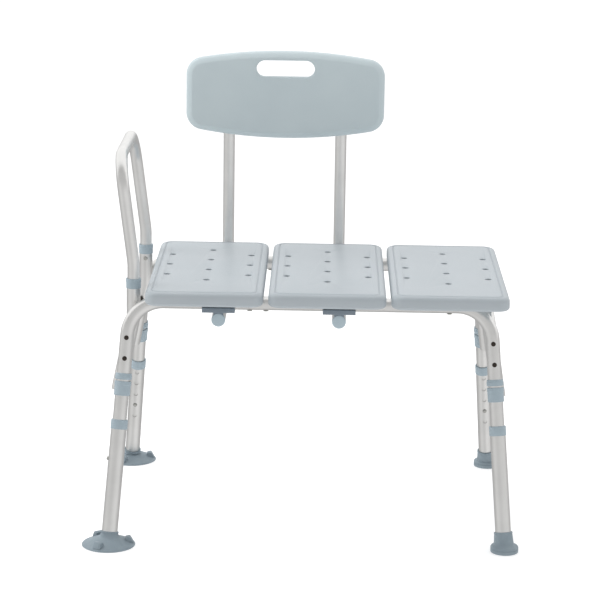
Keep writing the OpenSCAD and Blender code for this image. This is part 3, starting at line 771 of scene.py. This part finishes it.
def make_saddle(end, side):
    """A saddle: a plate under the rail with two screw holes, and a cradle on the sleeve."""
    node = f"saddle_{end}_{side}"
    low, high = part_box(node)
    sleeve_low, sleeve_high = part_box("backrest_sleeve_" + side)
    rail_low, rail_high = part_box(f"{end}_frame_tube")
    x = (sleeve_low.x + sleeve_high.x) / 2
    sleeve_z = (sleeve_low.z + sleeve_high.z) / 2
    rail_z = rail_high.z - RAIL_R
    rail_y = rail_high.y - RAIL_R if end == "front" else rail_low.y + RAIL_R
    plate_foot = high.z - 0.0089
    plate = block("plate", (low.x, low.y, plate_foot), (high.x, high.y, high.z))
    bevel(plate, 0.0009)
    half_width = 0.009
    end_inset = 0.002
    overlap = 0.002
    cradle_low = (x - half_width, low.y + end_inset, low.z)
    cradle_high = (x + half_width, high.y - end_inset, plate_foot + overlap)
    cradle = block("cradle", cradle_low, cradle_high)
    rail_start = Vector((low.x - OVERSHOOT, rail_y, rail_z))
    rail_end = Vector((high.x + OVERSHOOT, rail_y, rail_z))
    rail = bar("rail_tool", rail_start, rail_end, RAIL_R)
    sleeve_start = Vector((x, low.y - OVERSHOOT, sleeve_z))
    sleeve_end = Vector((x, high.y + OVERSHOOT, sleeve_z))
    sleeve = bar("sleeve_tool", sleeve_start, sleeve_end, RAIL_R)
    saddle = combine(plate, [cradle], "UNION")
    saddle.name = node + "_moulding"
    # Each side of the cradle has a counterbore for a screw's head and a hole for its shank, both
    # (height above the plate's foot, radius)
    screw_offset = 0.020
    counterbore = (0.0019, 0.0048)
    shank_hole = (0.02, 0.0023)
    below = 0.001
    for sx in (-1, 1):
        for height, radius in (counterbore, shank_hole):
            foot = Vector((x + sx * screw_offset, rail_y, plate_foot - below))
            hole = bar("hole", foot, foot + Vector((0, 0, height + below)), radius, count=32)
            combine(saddle, [hole], "DIFFERENCE")
    combine(saddle, [rail, sleeve], "DIFFERENCE")
    smooth(saddle, angle=30)
    return finish_piece(saddle, "bench_frame", "fitting_plastic", SADDLE, node)


# ---- the studio ----

# Brightness round the horizon, as (share of the turn, level): from behind by way of the left, the
# camera's side and the right to behind again
WALL_STOPS = [
    (0.0, 0.45), (0.12, 0.42), (0.20, 0.46), (0.26, 0.62), (0.33, 0.70), (0.40, 0.62), (0.46, 0.56),
    (0.50, 0.60), (0.56, 0.76), (0.67, 0.75), (0.73, 0.66), (0.79, 0.46), (0.88, 0.42), (1.0, 0.45),
]
# Brightness overhead, from the camera's horizon by way of the zenith to the horizon behind
CEILING_STOPS = [
    (0.0, 0.60), (0.12, 0.52), (0.32, 0.50), (0.345, 0.22), (0.375, 0.22), (0.41, 0.98),
    (0.66, 0.95), (0.80, 0.95), (1.0, 1.05),
]
WORLD_STRENGTH = 1.1


def make_floor():
    """A pale slab that glows a little and doesn't show in reflections."""
    half = 30.0
    top, bottom = -0.0002, -0.0102
    corners = ((-half, -half), (half, -half), (half, half), (-half, half))
    floor = skin("floor", [[Vector((x, y, z)) for x, y in corners] for z in (top, bottom)])
    material, nodes, links, shader = node_tree("studio_floor")
    at = position(nodes, links)
    soft = noise(nodes, links, at, scale=3)
    pale = two_tone(nodes, links, soft, (0.62, 0.62, 0.62), (0.60, 0.60, 0.60))
    links.new(pale, shader.inputs["Base Color"])
    shader.inputs["Roughness"].default_value = 0.9
    shader.inputs["Specular IOR Level"].default_value = 0.1
    shader.inputs["Emission Color"].default_value = (1, 1, 1, 1)
    shader.inputs["Emission Strength"].default_value = 0.55
    floor.data.materials.append(material)
    floor.visible_glossy = False


def make_world():
    """A bright studio: walls with darker gaps, which give the tubes their bands, and a ceiling."""
    world = bpy.data.worlds.new("studio")
    bpy.context.scene.world = world
    world.use_nodes = True
    nodes, links = world.node_tree.nodes, world.node_tree.links
    nodes.clear()

    def math_node(operation, first, second):
        node = nodes.new("ShaderNodeMath")
        node.operation = operation
        links.new(first, node.inputs[0])
        if isinstance(second, (int, float)):
            node.inputs[1].default_value = second
        else:
            links.new(second, node.inputs[1])
        return node.outputs[0]

    def ramp_node(value, stops):
        node = nodes.new("ShaderNodeValToRGB")
        while len(node.color_ramp.elements) < len(stops):
            node.color_ramp.elements.new(0.5)
        for element, (place, level) in zip(node.color_ramp.elements, stops):
            element.position = place
            element.color = (level, level, level, 1)
        links.new(value, node.inputs["Fac"])
        return node.outputs["Color"]

    def scaled(value, low, high):
        node = nodes.new("ShaderNodeMapRange")
        node.inputs["From Min"].default_value = low
        node.inputs["From Max"].default_value = high
        links.new(value, node.inputs["Value"])
        return node.outputs["Result"]

    coords = nodes.new("ShaderNodeTexCoord")
    parts = nodes.new("ShaderNodeSeparateXYZ")
    links.new(coords.outputs["Generated"], parts.inputs[0])
    x, y, z = parts.outputs
    forward = math_node("MULTIPLY", y, -1)
    walls = ramp_node(scaled(math_node("ARCTAN2", x, forward), -math.pi, math.pi), WALL_STOPS)
    ceiling = ramp_node(scaled(math_node("ARCTAN2", z, forward), 0, math.pi), CEILING_STOPS)
    mix = nodes.new("ShaderNodeMix")
    mix.data_type = "RGBA"
    # From just below the horizon the walls give way to the ceiling
    links.new(scaled(z, -0.02, 0.16), mix.inputs["Factor"])
    links.new(walls, mix.inputs["A"])
    links.new(ceiling, mix.inputs["B"])
    background = nodes.new("ShaderNodeBackground")
    links.new(mix.outputs["Result"], background.inputs["Color"])
    background.inputs["Strength"].default_value = WORLD_STRENGTH
    out = nodes.new("ShaderNodeOutputWorld")
    links.new(background.outputs[0], out.inputs["Surface"])


def area_light(name, place, target, size, power, tint):
    data = bpy.data.lights.new(name, "AREA")
    data.shape = "RECTANGLE"
    data.size, data.size_y = size
    data.energy = power
    data.color = tint
    light = new_object(name, data)
    light.location = place
    light.visible_glossy = False
    light.rotation_mode = "QUATERNION"
    light.rotation_quaternion = (Vector(target) - Vector(place)).to_track_quat("-Z", "Y")
    return light


def make_lights():
    aim = (0, 0, 0.45)
    area_light("overhead", (-0.6, 0.5, 3.0), aim, size=(2.4, 1.8), power=27, tint=(1, 0.99, 0.985))
    area_light("left_bank", (-2.8, 0.6, 1.6), aim, size=(1.2, 2.4), power=22, tint=(0.99, 0.995, 1))
    area_light("right_bank", (2.9, -0.4, 1.4), aim, size=(1.2, 2.4), power=3, tint=(0.99, 0.995, 1))


def make_camera():
    """A long lens at standing height, a little right of the bench's middle."""
    data = bpy.data.cameras.new("camera")
    data.sensor_width = 36
    data.lens = 143.4
    camera = new_object("camera", data)
    camera.location = (0.0333, -4.4857, 1.4536)
    pan, tilt, roll = math.radians(0.42), math.radians(90 - 13.305), math.radians(0.905)
    camera.rotation_mode = "QUATERNION"
    turn = Matrix.Rotation(pan, 3, "Z") @ Matrix.Rotation(tilt, 3, "X")
    camera.rotation_quaternion = (turn @ Matrix.Rotation(roll, 3, "Z")).to_quaternion()
    data.clip_start, data.clip_end = 0.1, 100
    bpy.context.scene.camera = camera


# ---- build ----

paint_cad_nodes()
for side in ("left", "middle", "right"):
    make_pad(side)
make_panel()
for corner in LEGS:
    make_collar("upper_collar_" + corner, corner, band_on_top=False)
    make_collar("lower_collar_" + corner, corner, band_on_top=True)
    make_ring(corner)
make_suction_foot("fl", "suction_foot_front")
make_suction_foot("rl", "suction_foot_rear")
make_rubber_tip("fr", "rubber_tip_front")
make_rubber_tip("rr", "rubber_tip_rear")
for end in ("front", "rear"):
    make_arm_collar(end)
    for side in ("left", "right"):
        make_saddle(end, side)
for side in ("left", "right"):
    make_end_cap(side)
make_floor()
make_world()
make_lights()
make_camera()
bpy.context.scene.view_settings.view_transform = "Standard"
